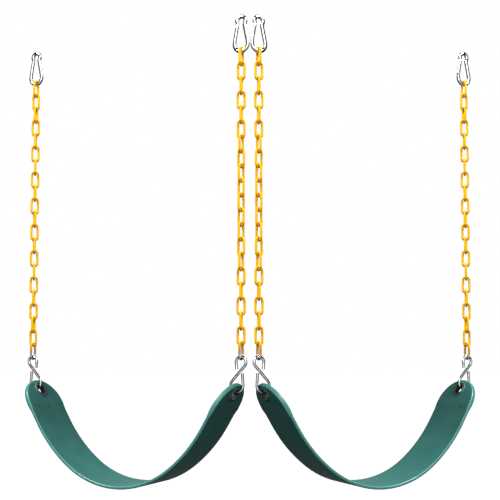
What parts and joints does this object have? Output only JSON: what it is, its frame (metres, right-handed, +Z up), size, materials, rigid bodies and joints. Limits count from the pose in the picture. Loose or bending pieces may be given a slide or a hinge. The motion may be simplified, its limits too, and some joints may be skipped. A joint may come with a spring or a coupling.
{
  "type": "swing set",
  "caption": "Pair of belt swings: curved soft belt seats on S-hooks, hung from coated chains that end in spring snap hooks for a beam",
  "frame": {"origin": "midway between the four hanging eyes, at the height of their centres", "axes": "+X to the right along the beam, +Y away from the side the rider faces at the front, +Z up"},
  "size_m": [1.0164, 0.3022, 0.9727],
  "materials": {
    "yellow_coating": "thick soft dipped coating, satin gloss",
    "nickel_steel": "bright nickel plating",
    "zinc_steel": "bright zinc plating, slightly grainy",
    "green_rubber": "smooth moulded, satin",
    "black_eyelet": "smooth black"
  },
  "bodies": {
    "hanger_hooks": {"left_snap_hook_frames": "nickel_steel", "left_gate_rivets": "nickel_steel", "right_snap_hook_frames": "nickel_steel", "right_gate_rivets": "nickel_steel"},
    "left_outer_gate": {"left_outer_snap_gate": "nickel_steel", "left_outer_gate_spring": "zinc_steel"},
    "left_inner_gate": {"left_inner_snap_gate": "nickel_steel", "left_inner_gate_spring": "zinc_steel"},
    "left_top_links": {"left_top_links": "yellow_coating"},
    "left_outer_chain": {"left_outer_chain": "yellow_coating"},
    "left_inner_chain": {"left_inner_chain": "yellow_coating"},
    "left_bottom_links": {"left_bottom_links": "zinc_steel", "left_bottom_link_coatings": "yellow_coating"},
    "left_s_hooks": {"left_outer_s_hook": "zinc_steel", "left_inner_s_hook": "zinc_steel"},
    "left_seat": {"left_belt_seat": "green_rubber", "left_seat_eyelets": "black_eyelet", "left_seat_end_plates": "zinc_steel"},
    "right_outer_gate": {"right_outer_snap_gate": "nickel_steel", "right_outer_gate_spring": "zinc_steel"},
    "right_inner_gate": {"right_inner_snap_gate": "nickel_steel", "right_inner_gate_spring": "zinc_steel"},
    "right_top_links": {"right_top_links": "yellow_coating"},
    "right_outer_chain": {"right_outer_chain": "yellow_coating"},
    "right_inner_chain": {"right_inner_chain": "yellow_coating"},
    "right_bottom_links": {"right_bottom_links": "zinc_steel", "right_bottom_link_coatings": "yellow_coating"},
    "right_s_hooks": {"right_outer_s_hook": "zinc_steel", "right_inner_s_hook": "zinc_steel"},
    "right_seat": {"right_belt_seat": "green_rubber", "right_seat_eyelets": "black_eyelet", "right_seat_end_plates": "zinc_steel"}
  },
  "joints": [
    {"name": "left_outer_gate_opening", "type": "hinge", "parent": "hanger_hooks", "child": "left_outer_gate", "pos_m": [-0.50365, 0.11898, -0.0403], "axis": [0.4305, 0.9026, 0], "range_deg": [0, 16], "stiffness_Nm_per_rad": 0.1, "springref_deg": -57.3},
    {"name": "left_inner_gate_opening", "type": "hinge", "parent": "hanger_hooks", "child": "left_inner_gate", "pos_m": [-0.03127, -0.10633, -0.0403], "axis": [0.4305, 0.9026, 0], "range_deg": [0, 16], "stiffness_Nm_per_rad": 0.1, "springref_deg": -57.3},
    {"name": "left_swing", "type": "hinge", "parent": "hanger_hooks", "child": "left_top_links", "pos_m": [-0.25419, 0, -0.0624], "axis": [0.9026, -0.4305, 0], "range_deg": [-60, 60]},
    {"name": "left_outer_chain_sway", "type": "hinge", "parent": "left_top_links", "child": "left_outer_chain", "pos_m": [-0.49038, 0.11266, -0.0909], "axis": [0.4305, 0.9026, 0], "range_deg": [-0.5, 15]},
    {"name": "left_inner_chain_sway", "type": "hinge", "parent": "left_top_links", "child": "left_inner_chain", "pos_m": [-0.018, -0.11266, -0.0909], "axis": [0.4305, 0.9026, 0], "range_deg": [-0.5, 15]},
    {"name": "left_seat_levelling", "type": "hinge", "parent": "left_outer_chain", "child": "left_bottom_links", "pos_m": [-0.49038, 0.11266, -0.6555], "axis": [0.4305, 0.9026, 0], "range_deg": [-15, 0.5]},
    {"name": "left_s_hook_tilt", "type": "hinge", "parent": "left_bottom_links", "child": "left_s_hooks", "pos_m": [-0.25419, 0, -0.68555], "axis": [0.9026, -0.4305, 0], "range_deg": [-20, 20]},
    {"name": "left_seat_tilt", "type": "hinge", "parent": "left_s_hooks", "child": "left_seat", "pos_m": [-0.25419, 0, -0.75555], "axis": [0.9026, -0.4305, 0], "range_deg": [-15, 15]},
    {"name": "right_outer_gate_opening", "type": "hinge", "parent": "hanger_hooks", "child": "right_outer_gate", "pos_m": [0.47711, 0.10633, -0.0403], "axis": [-0.4305, 0.9026, 0], "range_deg": [0, 16], "stiffness_Nm_per_rad": 0.1, "springref_deg": -57.3},
    {"name": "right_inner_gate_opening", "type": "hinge", "parent": "hanger_hooks", "child": "right_inner_gate", "pos_m": [0.00473, -0.11898, -0.0403], "axis": [-0.4305, 0.9026, 0], "range_deg": [0, 16], "stiffness_Nm_per_rad": 0.1, "springref_deg": -57.3},
    {"name": "right_swing", "type": "hinge", "parent": "hanger_hooks", "child": "right_top_links", "pos_m": [0.25419, 0, -0.0624], "axis": [-0.9026, -0.4305, 0], "range_deg": [-60, 60]},
    {"name": "right_outer_chain_sway", "type": "hinge", "parent": "right_top_links", "child": "right_outer_chain", "pos_m": [0.49038, 0.11266, -0.0909], "axis": [0.4305, -0.9026, 0], "range_deg": [-0.5, 15]},
    {"name": "right_inner_chain_sway", "type": "hinge", "parent": "right_top_links", "child": "right_inner_chain", "pos_m": [0.018, -0.11266, -0.0909], "axis": [0.4305, -0.9026, 0], "range_deg": [-0.5, 15]},
    {"name": "right_seat_levelling", "type": "hinge", "parent": "right_outer_chain", "child": "right_bottom_links", "pos_m": [0.49038, 0.11266, -0.6555], "axis": [0.4305, -0.9026, 0], "range_deg": [-15, 0.5]},
    {"name": "right_s_hook_tilt", "type": "hinge", "parent": "right_bottom_links", "child": "right_s_hooks", "pos_m": [0.25419, 0, -0.68555], "axis": [-0.9026, -0.4305, 0], "range_deg": [-20, 20]},
    {"name": "right_seat_tilt", "type": "hinge", "parent": "right_s_hooks", "child": "right_seat", "pos_m": [0.25419, 0, -0.75555], "axis": [-0.9026, -0.4305, 0], "range_deg": [-15, 15]}
  ],
  "couplings": [
    {"joint": "left_inner_chain_sway", "follows": "left_outer_chain_sway", "ratio": 1},
    {"joint": "left_seat_levelling", "follows": "left_outer_chain_sway", "ratio": -1},
    {"joint": "right_inner_chain_sway", "follows": "right_outer_chain_sway", "ratio": 1},
    {"joint": "right_seat_levelling", "follows": "right_outer_chain_sway", "ratio": -1}
  ]
}
